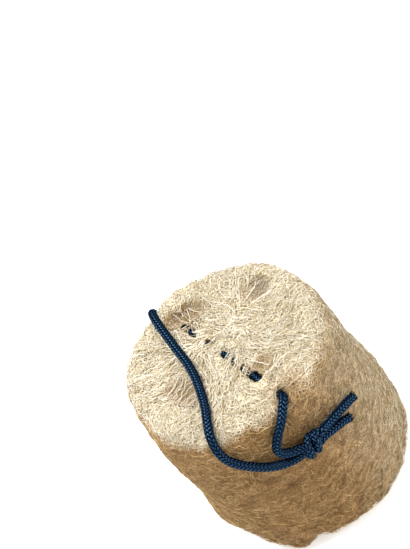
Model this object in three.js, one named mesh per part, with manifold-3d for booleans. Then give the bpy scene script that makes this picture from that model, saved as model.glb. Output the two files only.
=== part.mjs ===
// A natural loofah sponge: the dried fibre net of a loofah gourd, cut across at both ends and standing on
// one of them. A braided cord runs through it just under the upper cut, lies over that cut, and is knotted
// to itself on the front. Millimetres, +Z up. The origin is on the surface it stands on. -Y is the front,
// where the knot is.

import * as THREE from "three";
import { ConvexHull } from "three/addons/math/ConvexHull.js";
import { mergeVertices } from "three/addons/utils/BufferGeometryUtils.js";
import Module from "manifold-3d";

const wasm = await Module();
wasm.setup();

// The sponge
const height = 97;
const topRadius = 50.6;
const footRadius = 52.6;
const topRounding = 10;
const footRounding = 6;
const footLean = 2.5; // how far the foot stands to +X of the upper cut
const topDish = 2.2; // how far the middle of the upper cut lies below its rim

// The raised net that covers it
const cellCount = 1000;
const cellShift = 0.34; // the share of a cell's width that its middle may wander
const crestHeight = 0.7;
const pitDepth = 1.8;
const cutPitDepth = 2.2; // on the two cut ends, which are more open
const flatSpotRadius = 9; // the solid heart of the foot, cut flat

// The seed channels, from the upper cut to the foot: middle, half widths at the mouth, turn of the longer
// one
const channels = [
  { x: -4, y: 34, half: [12.5, 5.8], turn: -8 },
  { x: 30, y: 21, half: [7.2, 6.8], turn: 30 },
  { x: 11.2, y: -20.6, half: [6.8, 5.4], turn: 20 },
  { x: -25, y: -8, half: [12, 6.4], turn: -62 },
];
const mouthDepth = 12; // over which a channel's mouth narrows
const channelShare = 0.66; // of the mouth's half widths, below it
const channelSides = 12;

// The bold strands that run out from the heart on the upper cut
const strandCount = 22;
const strandRadius = 1.1;

// The braided cord
const cordRadius = 2.25;
const knottedCordRadius = 1.9; // squeezed in the knot
const cordSides = 8;
const cordStep = 6;
const knotStep = 2.8;
const cordClearance = 0.45;

const toRadians = Math.PI / 180;

// Broad bulges (positive) and hollows of the side: degrees from the front towards +X, height, spans of
// both, depth
const sideForms = [
  { at: -10, z: 46, wide: 15, tall: 60, by: -1.6 }, // the long valley down the front
  { at: -40, z: 80, wide: 26, tall: 22, by: 0.8 },
  { at: 40, z: 40, wide: 22, tall: 40, by: 1.2 },
  { at: -85, z: 96, wide: 20, tall: 20, by: -2.4 },
  { at: -128, z: 94, wide: 25, tall: 26, by: 2.8 },
  { at: -178, z: 95, wide: 24, tall: 16, by: 1.6 },
  { at: 140, z: 94, wide: 28, tall: 24, by: 3.4 },
  { at: 94, z: 94, wide: 20, tall: 20, by: 0.4 },
  { at: -90, z: 36, wide: 40, tall: 26, by: -4.2 },
  { at: -64, z: 0, wide: 24, tall: 16, by: -3.5 },
  { at: 92, z: 20, wide: 30, tall: 30, by: 2.8 },
  { at: 84, z: 58, wide: 22, tall: 12, by: -1.2 },
  { at: 140, z: 30, wide: 24, tall: 34, by: 1.8 },
  { at: 172, z: 60, wide: 16, tall: 30, by: -1.8 },
  { at: -140, z: 64, wide: 22, tall: 26, by: 1.6 },
  { at: -168, z: 20, wide: 18, tall: 22, by: 1.2 },
];

// Where the rim of a cut end is lifted (positive) or drawn down: degrees from the front, span, how far
const topRimForms = [
  { at: 14, wide: 13, by: -4.2 }, // the dent that the cord pulls in
  { at: 60, wide: 24, by: -1.2 },
  { at: 130, wide: 30, by: 2.4 },
  { at: -150, wide: 28, by: 1.4 },
  { at: -177, wide: 22, by: 2 },
];
const sharpRim = { at: -178, wide: 26, by: 2.2 }; // where the rim of the upper cut is less rounded
const footRimForms = [
  { at: -18, wide: 5, by: 6 },
  { at: 0, wide: 16, by: 2.5 },
  { at: -60, wide: 18, by: 10 },
  { at: 120, wide: 20, by: 2 },
];

// The knot: where its middle lies on the skin, and its own directions along the tails, down the side and
// outwards
const knot = {
  middle: new THREE.Vector3(8.7, -51.7, 71.2),
  along: new THREE.Vector3(0.991, 0.112, 0.07),
  down: new THREE.Vector3(0.07, 0.06, -0.995),
  out: new THREE.Vector3(0.115, -0.991, 0.06),
};

// The cord's middle line from one cut end to the other, by stretches. In the knot the three numbers are the
// distances along, down and out from the knot's middle, and elsewhere they are x, y and z.
const cordRoute = [
  {
    name: "long tail",
    points: [[37, -42, 66.8], [31.8, -45.6, 69.3], [25.6, -49.2, 71.3], [19.8, -52.4, 72.8]],
  },
  {
    name: "first turn of the knot",
    knotted: true,
    points: [
      [6.9, -2.7, 4.2], [4.6, -2.1, 4.2], [2.9, -0.3, 2.6], [1.7, 2.6, 2.1], [0.9, 4.6, 3.3], [1, 3.4, 6],
      [1.5, 0.6, 7.4], [2.3, -2.4, 6.8], [3.1, -4.1, 4.5], [4.8, -3.4, 2.6], [5.4, -1.3, 2.8],
      [2.8, 0.4, 4.4], [-1, 0.8, 4.3], [-3.8, 1.6, 3.5],
    ],
  },
  {
    name: "from the knot over the upper cut to the back",
    points: [
      [0.4, -54.2, 68.2], [-4.3, -53.3, 68.1], [-9.9, -52.3, 69.9], [-15.6, -51.1, 73.8],
      [-21.6, -49.3, 79.8], [-25.6, -47.4, 86], [-26.7, -45.2, 92.4], [-25.8, -41, 97.1],
      [-23.4, -34.5, 99.1], [-20.4, -24.7, 98.7], [-18.2, -13.7, 98.3], [-16.9, -4.5, 98.1],
      [-16.5, 4.4, 98.1], [-17.2, 16.7, 98.4], [-17.8, 32, 99.6], [-18, 41, 99.8], [-17.7, 47.6, 97.8],
    ],
  },
  {
    name: "in at the back and through",
    points: [
      [-17, 51.8, 92.8], [-15.7, 51.8, 87.2], [-14, 47.4, 83.8], [-12, 42.6, 84.6], [-10, 38.2, 87.4],
      [-8, 31, 89.6], [-5.4, 23, 90.3], [-2.5, 13, 90.4], [0.4, 3, 90.4], [3, -8, 90.2], [5.2, -17, 90.2],
      [7.2, -26, 90.2], [9.4, -33, 89.8], [10.6, -38, 90.6],
    ],
  },
  {
    name: "from the front to the knot",
    points: [
      [11, -42.4, 93.1], [8.7, -47, 93.6], [4.2, -51.4, 90.7], [-0.9, -53, 85.8], [-3.8, -53.2, 81.2],
      [-4.7, -53.3, 77.2], [-2.2, -53.8, 74.2],
    ],
  },
  {
    name: "second turn of the knot",
    knotted: true,
    points: [
      [-5.7, -2.4, 2.8], [-3.3, -1.8, 3.4], [-0.9, -1.6, 4.4], [1.7, -2, 4.1], [2.9, -3.2, 2.9],
      [1.2, -4.6, 3.2], [-0.9, -4.2, 5.2], [-1.9, -2.2, 7.2], [-2.5, 0.4, 7.7], [-3, 2.9, 6.4],
      [-3.3, 4.7, 4], [-1.8, 3.8, 2.3], [1, 3.2, 3.7], [3.8, 2.9, 3.6],
    ],
  },
  {
    name: "short tail",
    points: [[16, -53.4, 68.6], [22.5, -50.9, 66.5], [27.2, -48.7, 64.3], [30.2, -47.3, 62.4]],
  },
];

// A repeatable source of random numbers from 0 to 1
function randomFrom(seed) {
  let state = seed;
  return () => {
    state = (state + 0x6d2b79f5) | 0;
    let mixed = Math.imul(state ^ (state >>> 15), 1 | state);
    mixed = (mixed + Math.imul(mixed ^ (mixed >>> 7), 61 | mixed)) ^ mixed;
    return ((mixed ^ (mixed >>> 14)) >>> 0) / 4294967296;
  };
}

function bell(distance, span) {
  return Math.exp(-((distance / span) ** 2));
}

function degreesApart(one, other) {
  return ((one - other + 540) % 360) - 180;
}

// The plain outline from the middle of the foot to the middle of the upper cut, as [radius, height] pairs
function outline() {
  const steps = 24;
  const places = [];
  for (let i = 0; i <= steps; i++) places.push([((footRadius - footRounding) * i) / steps, 0]);
  for (let i = 1; i <= steps; i++) {
    const turn = (Math.PI / 2) * (i / steps);
    places.push([footRadius - footRounding * (1 - Math.sin(turn)), footRounding * (1 - Math.cos(turn))]);
  }
  for (let i = 1; i <= 2 * steps; i++) {
    const share = i / (2 * steps);
    const z = footRounding + (height - footRounding - topRounding) * share;
    places.push([footRadius + (topRadius - footRadius) * share + 1.2 * Math.sin(Math.PI * share), z]);
  }
  for (let i = 1; i <= steps; i++) {
    const turn = (Math.PI / 2) * (i / steps);
    const z = height - topRounding * (1 - Math.sin(turn));
    places.push([topRadius - topRounding * (1 - Math.cos(turn)), z]);
  }
  for (let i = 1; i <= steps; i++) places.push([(topRadius - topRounding) * (1 - i / steps), height]);
  return places;
}

const outlinePlaces = outline();
const areaUpTo = [0];
for (let i = 1; i < outlinePlaces.length; i++) {
  const [r0, z0] = outlinePlaces[i - 1];
  const [r1, z1] = outlinePlaces[i];
  areaUpTo.push(areaUpTo[i - 1] + (r0 + r1) * Math.hypot(r1 - r0, z1 - z0));
}

// The place on the outline below which that share of the skin's area lies
function outlineAt(share) {
  const area = THREE.MathUtils.clamp(share, 0, 1) * areaUpTo[areaUpTo.length - 1];
  let i = 1;
  while (i < areaUpTo.length - 1 && areaUpTo[i] < area) i++;
  const part = (area - areaUpTo[i - 1]) / (areaUpTo[i] - areaUpTo[i - 1]);
  const [r0, z0] = outlinePlaces[i - 1];
  const [r1, z1] = outlinePlaces[i];
  return [r0 + (r1 - r0) * part, z0 + (z1 - z0) * part];
}

// How far the rounding under the rim of the upper cut is pushed out and up at that height and angle
function sharpening(z, degrees) {
  const rise = THREE.MathUtils.clamp((z - height + topRounding) / topRounding, 0, 1);
  const share = 2 * rise * Math.sqrt(1 - rise ** 2);
  return sharpRim.by * Math.SQRT1_2 * share * bell(degreesApart(degrees, sharpRim.at), sharpRim.wide);
}

// A place on the plain outline, turned to that angle, as it lies on the uneven sponge
function grown(radius, z, angle) {
  const degrees = angle / toRadians;
  let push = 0;
  for (const form of sideForms) {
    push += form.by * bell(degreesApart(degrees, form.at), form.wide) * bell(z - form.z, form.tall);
  }
  let lift = 0;
  for (const form of topRimForms) {
    lift += form.by * bell(degreesApart(degrees, form.at), form.wide) * bell(z - height, 16);
  }
  for (const form of footRimForms) {
    lift += form.by * bell(degreesApart(degrees, form.at), form.wide) * bell(z, 14);
  }
  const towardsRim = THREE.MathUtils.smoothstep(radius, 24, 46);
  const dish = topDish * bell(radius, 30) * THREE.MathUtils.smoothstep(z, height - 4, height);
  const sharper = sharpening(z, degrees);
  const wide = radius * (1 + push / topRadius) + sharper;
  const lean = footLean * (1 - z / height);
  const up = z + lift * towardsRim + sharper - dish;
  return new THREE.Vector3(wide * Math.sin(angle) + lean, -wide * Math.cos(angle), up);
}

// The sponge's skin without its net: a direction on a ball, spread out so that equal areas stay equal
function skin(direction) {
  const [radius, z] = outlineAt((direction.z + 1) / 2);
  return grown(radius, z, Math.atan2(direction.x, -direction.y));
}

function skinNormal(direction) {
  const side = new THREE.Vector3(-direction.y, direction.x, 0);
  if (side.lengthSq() < 1e-6) side.set(1, 0, 0);
  side.normalize();
  const up = new THREE.Vector3().crossVectors(direction, side).normalize();
  const step = 0.01;
  const along = (way, by) => skin(direction.clone().addScaledVector(way, by).normalize());
  const across = along(side, step).sub(along(side, -step));
  const upward = along(up, step).sub(along(up, -step));
  return across.cross(upward).normalize();
}

// Cell middles spread evenly over a ball and shifted a little
function cellMiddles() {
  const random = randomFrom(7);
  const goldenAngle = Math.PI * (3 - Math.sqrt(5));
  const width = Math.sqrt((4 * Math.PI) / cellCount);
  const middles = [];
  for (let i = 0; i < cellCount; i++) {
    const z = -1 + (2 * i + 1) / cellCount;
    const ring = Math.sqrt(1 - z * z);
    const place = new THREE.Vector3(ring * Math.cos(goldenAngle * i), ring * Math.sin(goldenAngle * i), z);
    const shift = new THREE.Vector3(random() - 0.5, random() - 0.5, random() - 0.5);
    middles.push(place.addScaledVector(shift, 2 * cellShift * width).normalize());
  }
  return middles;
}

// The skin moved in or out at one place, never below the surface it stands on
function raised(direction, by) {
  const place = skin(direction);
  const normal = skinNormal(direction);
  const onCut = Math.abs(normal.z) > 0.8;
  if (onCut && place.z < height / 2) by = Math.min(by, 0);
  place.addScaledVector(normal, by < 0 && onCut ? (by * cutPitDepth) / pitDepth : by);
  place.z = Math.max(place.z, 0);
  return place;
}

// A raised net: each cell is a pit, and its crest runs through the middles of the triangles between
// neighbouring cells
function nettedSkin() {
  const random = randomFrom(21);
  const middles = cellMiddles();
  const numberOf = new Map(middles.map((place, i) => [place, i]));
  const hull = new ConvexHull().setFromPoints(middles);
  const points = middles.map((middle) => raised(middle, -pitDepth * (0.7 + 0.6 * random())));
  const cornerOf = new Map();
  for (const face of hull.faces) {
    const centre = new THREE.Vector3();
    let edge = face.edge;
    for (let i = 0; i < 3; i++) {
      centre.add(edge.head().point);
      edge = edge.next;
    }
    cornerOf.set(face, points.length);
    points.push(raised(centre.normalize(), crestHeight * (0.4 + 0.9 * random())));
  }
  const index = [];
  for (const face of hull.faces) {
    let edge = face.edge;
    for (let i = 0; i < 3; i++) {
      index.push(numberOf.get(edge.head().point), cornerOf.get(face), cornerOf.get(edge.twin.face));
      edge = edge.next;
    }
  }
  const geometry = new THREE.BufferGeometry().setFromPoints(points);
  geometry.setIndex(index);
  return geometry;
}

// The solid heart of the foot, which gives it a flat spot to stand on
function footHeart() {
  const thick = 6;
  return new THREE.ExtrudeGeometry(roundSection(flatSpotRadius, 7), { depth: thick, bevelEnabled: false });
}

// One seed channel: rings of points from below the foot to above the upper cut, closed at both ends
function channelGeometry({ x, y, half, turn }) {
  const beyond = 4;
  const belowMouth = [-beyond, height * 0.3, height * 0.6];
  const levels = [...belowMouth, height - mouthDepth, height - mouthDepth * 0.4, height + beyond];
  const shares = [channelShare * 1.2, channelShare, channelShare, channelShare, 0.85, 1.1];
  const points = [];
  levels.forEach((z, level) => {
    const lean = footLean * (1 - z / height);
    for (let i = 0; i < channelSides; i++) {
      const angle = (2 * Math.PI * i) / channelSides;
      const place = new THREE.Vector2(half[0] * Math.cos(angle), half[1] * Math.sin(angle));
      place.multiplyScalar(shares[level]).rotateAround(new THREE.Vector2(), turn * toRadians);
      points.push(new THREE.Vector3(x + lean + place.x, y + place.y, z));
    }
  });
  const index = [];
  for (let level = 0; level < levels.length - 1; level++) {
    for (let i = 0; i < channelSides; i++) {
      const here = level * channelSides;
      const next = (i + 1) % channelSides;
      index.push(here + i, here + next, here + channelSides + i);
      index.push(here + next, here + channelSides + next, here + channelSides + i);
    }
  }
  const last = (levels.length - 1) * channelSides;
  for (let i = 1; i < channelSides - 1; i++) {
    index.push(0, i + 1, i);
    index.push(last, last + i, last + i + 1);
  }
  const geometry = new THREE.BufferGeometry().setFromPoints(points);
  geometry.setIndex(index);
  return geometry;
}

function roundSection(radius, sides) {
  const corners = [];
  for (let i = 0; i < sides; i++) {
    const angle = (2 * Math.PI * i) / sides;
    corners.push(new THREE.Vector2(radius * Math.cos(angle), radius * Math.sin(angle)));
  }
  return new THREE.Shape(corners);
}

// A round bar along a curve, closed at both ends
function bar(curve, radius, sides, steps) {
  const section = roundSection(radius, sides);
  return new THREE.ExtrudeGeometry(section, { steps, bevelEnabled: false, extrudePath: curve });
}

function insideChannel(x, y) {
  return channels.some((channel) => {
    const place = new THREE.Vector2(x, y).sub(new THREE.Vector2(channel.x, channel.y));
    place.rotateAround(new THREE.Vector2(), -channel.turn * toRadians);
    return (place.x / (channel.half[0] + 1)) ** 2 + (place.y / (channel.half[1] + 1)) ** 2 < 1;
  });
}

// A place on the upper cut, by x and y
function onUpperCut(x, y, lift) {
  const place = grown(Math.hypot(x, y), height, Math.atan2(x, -y));
  return new THREE.Vector3(x, y, place.z + lift);
}

// Strands that run out from the heart on the upper cut, between the mouths of the channels, and one across
// a mouth
function strands() {
  const random = randomFrom(5);
  const sink = 0.1;
  const bars = [];
  while (bars.length < strandCount) {
    const angle = 2 * Math.PI * random();
    const inner = 9 + 16 * random();
    const outer = inner + 10 + 8 * random();
    const bend = (random() - 0.5) * 0.5;
    const places = [];
    for (let i = 0; i <= 4; i++) {
      const share = i / 4;
      const radius = inner + (outer - inner) * share;
      const turn = angle + bend * share * share;
      places.push([radius * Math.sin(turn), -radius * Math.cos(turn)]);
    }
    if (outer > topRadius - topRounding || places.some(([x, y]) => insideChannel(x, y))) continue;
    const curve = new THREE.CatmullRomCurve3(places.map(([x, y]) => onUpperCut(x, y, sink)));
    bars.push(bar(curve, strandRadius, 5, 3));
  }
  const acrossMouth = [[-7.5, 42], [-6.5, 37], [-5, 32], [-5.5, 27]];
  const curve = new THREE.CatmullRomCurve3(acrossMouth.map(([x, y]) => onUpperCut(x, y, -1)));
  bars.push(bar(curve, 1.5, 6, 4));
  return bars;
}

// The part of a curve between two of its own parameters
class Stretch extends THREE.Curve {
  constructor(whole, from, to) {
    super();
    this.whole = whole;
    this.from = from;
    this.to = to;
  }

  getPoint(t, target) {
    return this.whole.getPoint(THREE.MathUtils.lerp(this.from, this.to, t), target);
  }
}

function cordPoint([first, second, third], knotted) {
  if (!knotted) return new THREE.Vector3(first, second, third);
  const place = knot.middle.clone().addScaledVector(knot.along, first);
  return place.addScaledVector(knot.down, second).addScaledVector(knot.out, third);
}

// The cord's stretches as curves, each starting a little inside the one before
function cordStretches() {
  const overlap = 0.35;
  const points = cordRoute.flatMap((stretch) => stretch.points.map((p) => cordPoint(p, stretch.knotted)));
  const whole = new THREE.CatmullRomCurve3(points, false, "centripetal");
  const last = points.length - 1;
  let passed = 0;
  return cordRoute.map(({ points, knotted }) => {
    const from = Math.max(passed - 1 - overlap, 0);
    passed += points.length;
    return { knotted, curve: new Stretch(whole, from / last, (passed - 1) / last) };
  });
}

function cordBars() {
  return cordStretches().map(({ knotted, curve }) => {
    const steps = Math.round(curve.getLength() / (knotted ? knotStep : cordStep));
    return bar(curve, knotted ? knottedCordRadius : cordRadius, cordSides, Math.max(2, steps));
  });
}

// The room that the cord has in the sponge, and the groove that it presses into the net
function cordRoom() {
  const looseStretches = cordStretches().filter((stretch) => !stretch.knotted);
  return looseStretches.map(({ curve }) => {
    const steps = Math.round(curve.getLength() / cordStep);
    return bar(curve, cordRadius + cordClearance, cordSides, Math.max(2, steps));
  });
}

// three.js geometry to a solid that can be joined and cut, and back
function solidFrom(geometry) {
  const bare = geometry.clone();
  bare.deleteAttribute("normal");
  bare.deleteAttribute("uv");
  const merged = mergeVertices(bare, 1e-4);
  return new wasm.Manifold(
    new wasm.Mesh({
      numProp: 3,
      vertProperties: merged.attributes.position.array,
      triVerts: new Uint32Array(merged.index.array),
    }),
  );
}

function joined(geometries) {
  return geometries.map(solidFrom).reduce((all, one) => all.add(one));
}

// The solid's outer body alone: the small hollows that joining strands to pits seals are filled
function withoutHollows(solid) {
  return solid.decompose().reduce((largest, one) => (one.volume() > largest.volume() ? one : largest));
}

function geometryFrom(solid) {
  const mesh = withoutHollows(solid).getMesh();
  const geometry = new THREE.BufferGeometry();
  geometry.setAttribute("position", new THREE.BufferAttribute(mesh.vertProperties, 3));
  geometry.setIndex(new THREE.BufferAttribute(mesh.triVerts, 1));
  geometry.computeVertexNormals();
  return geometry;
}

function spongeMesh() {
  const solid = joined([nettedSkin(), footHeart(), ...strands().slice(0, strandCount)])
    .subtract(joined(channels.map(channelGeometry)))
    .add(solidFrom(strands()[strandCount]))
    .subtract(joined(cordRoom()));
  const material = new THREE.MeshStandardMaterial({ color: 0xd9c39a, roughness: 0.85, metalness: 0 });
  const mesh = new THREE.Mesh(geometryFrom(solid), material);
  mesh.name = "sponge";
  return mesh;
}

function cordMesh() {
  const material = new THREE.MeshStandardMaterial({ color: 0x12294b, roughness: 0.6, metalness: 0 });
  const mesh = new THREE.Mesh(geometryFrom(joined(cordBars())), material);
  mesh.name = "cord";
  return mesh;
}

const loofah = new THREE.Group();
loofah.add(spongeMesh());
loofah.add(cordMesh());
export default loofah;
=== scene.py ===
# A natural loofah sponge with a knotted navy cord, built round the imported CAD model.
# Metres, +Z up. The sponge stands on one cut end, and -Y is the front, where the knot is.
from math import cos, pi, radians, sin, tau

import bpy
import numpy as np
from mathutils import Matrix, Vector, geometry, kdtree, noise
from mathutils.bvhtree import BVHTree


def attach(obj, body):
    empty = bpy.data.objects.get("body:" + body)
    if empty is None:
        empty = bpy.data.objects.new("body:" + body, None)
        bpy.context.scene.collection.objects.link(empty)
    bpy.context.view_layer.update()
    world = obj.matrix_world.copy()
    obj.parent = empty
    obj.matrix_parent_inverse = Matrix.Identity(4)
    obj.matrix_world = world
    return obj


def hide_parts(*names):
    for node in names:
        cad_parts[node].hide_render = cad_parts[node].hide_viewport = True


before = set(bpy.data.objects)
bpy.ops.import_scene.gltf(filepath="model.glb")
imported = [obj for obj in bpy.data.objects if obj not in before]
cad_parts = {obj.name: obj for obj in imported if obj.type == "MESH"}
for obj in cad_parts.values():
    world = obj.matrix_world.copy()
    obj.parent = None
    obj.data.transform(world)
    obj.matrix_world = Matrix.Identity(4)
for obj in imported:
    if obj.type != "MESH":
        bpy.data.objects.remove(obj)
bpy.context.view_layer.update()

mm = 0.001
cutLevel = 97 * mm  # height of the upper cut
thirds = (0, tau / 3, 2 * tau / 3)  # the corners of the thinnest tubes


# Linear colour from an sRGB hex value
def srgb(hexText):
    parts = [int(hexText[i:i + 2], 16) / 255 for i in (1, 3, 5)]
    return tuple(v / 12.92 if v <= 0.04045 else ((v + 0.055) / 1.055) ** 2.4 for v in parts) + (1.0,)


# Adds a node with its settings, its sockets' values and its links from other nodes' outputs
def addNode(tree, kind, settings=None, values=None, links=None):
    node = tree.nodes.new(kind)
    for key, value in (settings or {}).items():
        setattr(node, key, value)
    for key, value in (values or {}).items():
        node.inputs[key].default_value = value
    for key, (source, output) in (links or {}).items():
        tree.links.new(source.outputs[output], node.inputs[key])
    return node


def newMaterial(name):
    material = bpy.data.materials.new(name)
    material.use_nodes = True
    material.node_tree.nodes.clear()
    return material, material.node_tree


def setRamp(ramp, stops):
    elements = ramp.color_ramp.elements
    while len(elements) < len(stops):
        elements.new(0.5)
    for element, (place, colour) in zip(elements, stops):
        element.position = place
        element.color = srgb(colour)


# Puts a mesh made of points and faces in the scene as one smooth-shaded piece on the part's one body
def newPiece(name, points, faces, material):
    mesh = bpy.data.meshes.new(name)
    mesh.from_pydata([], [], [])
    faces = np.asarray(faces, dtype=np.int32)
    corners = faces.shape[1]
    mesh.vertices.add(len(points))
    mesh.vertices.foreach_set("co", np.asarray(points, dtype=np.float32).ravel())
    mesh.loops.add(faces.size)
    mesh.loops.foreach_set("vertex_index", faces.ravel())
    mesh.polygons.add(len(faces))
    mesh.polygons.foreach_set("loop_start", np.arange(0, faces.size, corners, dtype=np.int32))
    mesh.update(calc_edges=True)
    mesh.validate()
    mesh.polygons.foreach_set("use_smooth", np.ones(len(mesh.polygons), dtype=bool))
    mesh.materials.append(material)
    piece = bpy.data.objects.new(name, mesh)
    bpy.context.scene.collection.objects.link(piece)
    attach(piece, "root")
    return piece


def addAttribute(piece, name, values):
    attribute = piece.data.attributes.new(name, "FLOAT", "POINT")
    attribute.data.foreach_set("value", np.asarray(values, dtype=np.float32))


# Camera: the photograph's view, from above the front, rolled so that the sponge leans to the upper left
view = {
    "elevation": radians(42),
    "roll": radians(35),
    "lens": 120,
    "photoWidth": 410,
    "photoHeight": 549,
    "pixel": 0.46 * mm,  # size of a pixel at the upper cut
    "cutCentrePixel": (222, 351),  # where the photograph shows the middle of the upper cut
}


def makeCamera():
    tilt, roll = view["elevation"], view["roll"]
    ahead = Vector((0, cos(tilt), -sin(tilt)))
    levelUp = Vector((0, sin(tilt), cos(tilt)))
    levelRight = Vector((1, 0, 0))
    right = levelRight * cos(roll) - levelUp * sin(roll)
    up = levelRight * sin(roll) + levelUp * cos(roll)
    data = bpy.data.cameras.new("camera")
    data.lens = view["lens"]
    data.sensor_width = 36
    distance = view["pixel"] * view["photoHeight"] * view["lens"] / data.sensor_width
    offRight = (view["photoWidth"] / 2 - view["cutCentrePixel"][0]) * view["pixel"]
    offDown = (view["photoHeight"] / 2 - view["cutCentrePixel"][1]) * view["pixel"]
    place = Vector((0, 0, cutLevel)) - ahead * distance + right * offRight - up * offDown
    camera = bpy.data.objects.new("camera", data)
    camera.matrix_world = Matrix.Translation(place) @ Matrix((right, up, -ahead)).transposed().to_4x4()
    data.clip_start = 0.01
    bpy.context.scene.collection.objects.link(camera)
    bpy.context.scene.camera = camera


makeCamera()
print("camera placed")


# The cord: its middle line from one cut end to the other, through both turns of the knot.
# In the knot the three numbers are the distances along, down and out from the knot's middle.
cord = {
    "diameter": 4.5 * mm,
    "knottedDiameter": 3.8 * mm,
    "pitch": 15 * mm,  # one turn of a yarn round the cord
    "carriers": 8,  # yarns in each direction
    "yarnWidth": 0.96 * mm,
    "yarnThickness": 0.74 * mm,
    "weaveDepth": 0.62 * mm,
    "weaveSharpness": 1.8,  # how suddenly a yarn dives below the ones that it crosses
    "sampleStep": 0.55 * mm,
    "yarnSides": 6,
    "coreSides": 10,
}
fray = {"count": 90, "length": (0.3 * mm, 1.3 * mm), "radius": 0.11 * mm, "splay": 0.35, "root": 0.8 * mm,
        "spread": 0.93, "stray": 0.12}
knotMiddle = Vector((0.0087, -0.0517, 0.0712))
knotAlong = Vector((0.991, 0.112, 0.07))
knotDown = Vector((0.07, 0.06, -0.995))
knotOut = Vector((0.115, -0.991, 0.06))


def inKnot(places):
    return [tuple(knotMiddle + knotAlong * a + knotDown * d + knotOut * o) for a, d, o in places]


longTail = [
    (0.037, -0.042, 0.0668), (0.0318, -0.0456, 0.0693), (0.0256, -0.0492, 0.0713),
    (0.0198, -0.0524, 0.0728),
]
firstTurn = inKnot([
    (0.0069, -0.0027, 0.0042), (0.0046, -0.0021, 0.0042), (0.0029, -0.0003, 0.0026),
    (0.0017, 0.0026, 0.0021), (0.0009, 0.0046, 0.0033), (0.001, 0.0034, 0.006), (0.0015, 0.0006, 0.0074),
    (0.0023, -0.0024, 0.0068), (0.0031, -0.0041, 0.0045), (0.0048, -0.0034, 0.0026),
    (0.0054, -0.0013, 0.0028), (0.0028, 0.0004, 0.0044), (-0.001, 0.0008, 0.0043),
    (-0.0038, 0.0016, 0.0035),
])
overTheCut = [
    (0.0004, -0.0542, 0.0682), (-0.0043, -0.0533, 0.0681), (-0.0099, -0.0523, 0.0699),
    (-0.0156, -0.0511, 0.0738), (-0.0216, -0.0493, 0.0798), (-0.0256, -0.0474, 0.086),
    (-0.0267, -0.0452, 0.0924), (-0.0258, -0.041, 0.0971), (-0.0234, -0.0345, 0.0991),
    (-0.0204, -0.0247, 0.0987), (-0.0182, -0.0137, 0.0983), (-0.0169, -0.0045, 0.0981),
    (-0.0165, 0.0044, 0.0981), (-0.0172, 0.0167, 0.0984), (-0.0178, 0.032, 0.0996),
    (-0.018, 0.041, 0.0998), (-0.0177, 0.0476, 0.0978),
]
through = [
    (-0.017, 0.0518, 0.0928), (-0.0157, 0.0518, 0.0872), (-0.014, 0.0474, 0.0838), (-0.012, 0.0426, 0.0846),
    (-0.01, 0.0382, 0.0874), (-0.008, 0.031, 0.0896), (-0.0054, 0.023, 0.0903), (-0.0025, 0.013, 0.0904),
    (0.0004, 0.003, 0.0904), (0.003, -0.008, 0.0902), (0.0052, -0.017, 0.0902), (0.0072, -0.026, 0.0902),
    (0.0094, -0.033, 0.0898), (0.0106, -0.038, 0.0906),
]
downTheFront = [
    (0.011, -0.0424, 0.0931), (0.0087, -0.047, 0.0936), (0.0042, -0.0514, 0.0907),
    (-0.0009, -0.053, 0.0858), (-0.0038, -0.0532, 0.0812), (-0.0047, -0.0533, 0.0772),
    (-0.0022, -0.0538, 0.0742),
]
secondTurn = inKnot([
    (-0.0057, -0.0024, 0.0028), (-0.0033, -0.0018, 0.0034), (-0.0009, -0.0016, 0.0044),
    (0.0017, -0.002, 0.0041), (0.0029, -0.0032, 0.0029), (0.0012, -0.0046, 0.0032),
    (-0.0009, -0.0042, 0.0052), (-0.0019, -0.0022, 0.0072), (-0.0025, 0.0004, 0.0077),
    (-0.003, 0.0029, 0.0064), (-0.0033, 0.0047, 0.004), (-0.0018, 0.0038, 0.0023), (0.001, 0.0032, 0.0037),
    (0.0038, 0.0029, 0.0036),
])
shortTail = [
    (0.016, -0.0534, 0.0686), (0.0225, -0.0509, 0.0665), (0.0272, -0.0487, 0.0643), (0.0302, -0.0473, 0.0624),
]
cordRoute = longTail + firstTurn + overTheCut + through + downTheFront + secondTurn + shortTail
# Where the cord passes, counted in points of the route
firstTurnStart = len(longTail)
overTheCutStart = firstTurnStart + len(firstTurn)
throughStart = overTheCutStart + len(overTheCut)
frontStart = throughStart + len(through)
secondTurnStart = frontStart + len(downTheFront)
shortTailStart = secondTurnStart + len(secondTurn)
insideStart = throughStart + 2  # hidden from here on, in the hole at the back
insideEnd = frontStart - 2


# The centripetal curve through the route, which the solids follow too, and each sample's place in the route
def smoothRoute(route, samplesEach):
    p = np.array(route)
    p = np.vstack([2 * p[0] - p[1], p, 2 * p[-1] - p[-2]])
    line, positions = [], []
    for i in range(len(route) - 1):
        a, b, c, d = p[i:i + 4]
        gaps = [np.linalg.norm(v) ** 0.5 for v in (b - a, c - b, d - c)]
        leave = ((b - a) / gaps[0] - (c - a) / (gaps[0] + gaps[1]) + (c - b) / gaps[1]) * gaps[1]
        arrive = ((c - b) / gaps[1] - (d - b) / (gaps[1] + gaps[2]) + (d - c) / gaps[2]) * gaps[1]
        for t in np.arange(samplesEach) / samplesEach:
            shape = (2 * t**3 - 3 * t**2 + 1, t**3 - 2 * t**2 + t, 3 * t**2 - 2 * t**3, t**3 - t**2)
            line.append(shape[0] * b + shape[1] * leave + shape[2] * c + shape[3] * arrive)
            positions.append(i + t)
    return np.vstack([line, p[-2]]), np.append(positions, len(route) - 1)


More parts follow.
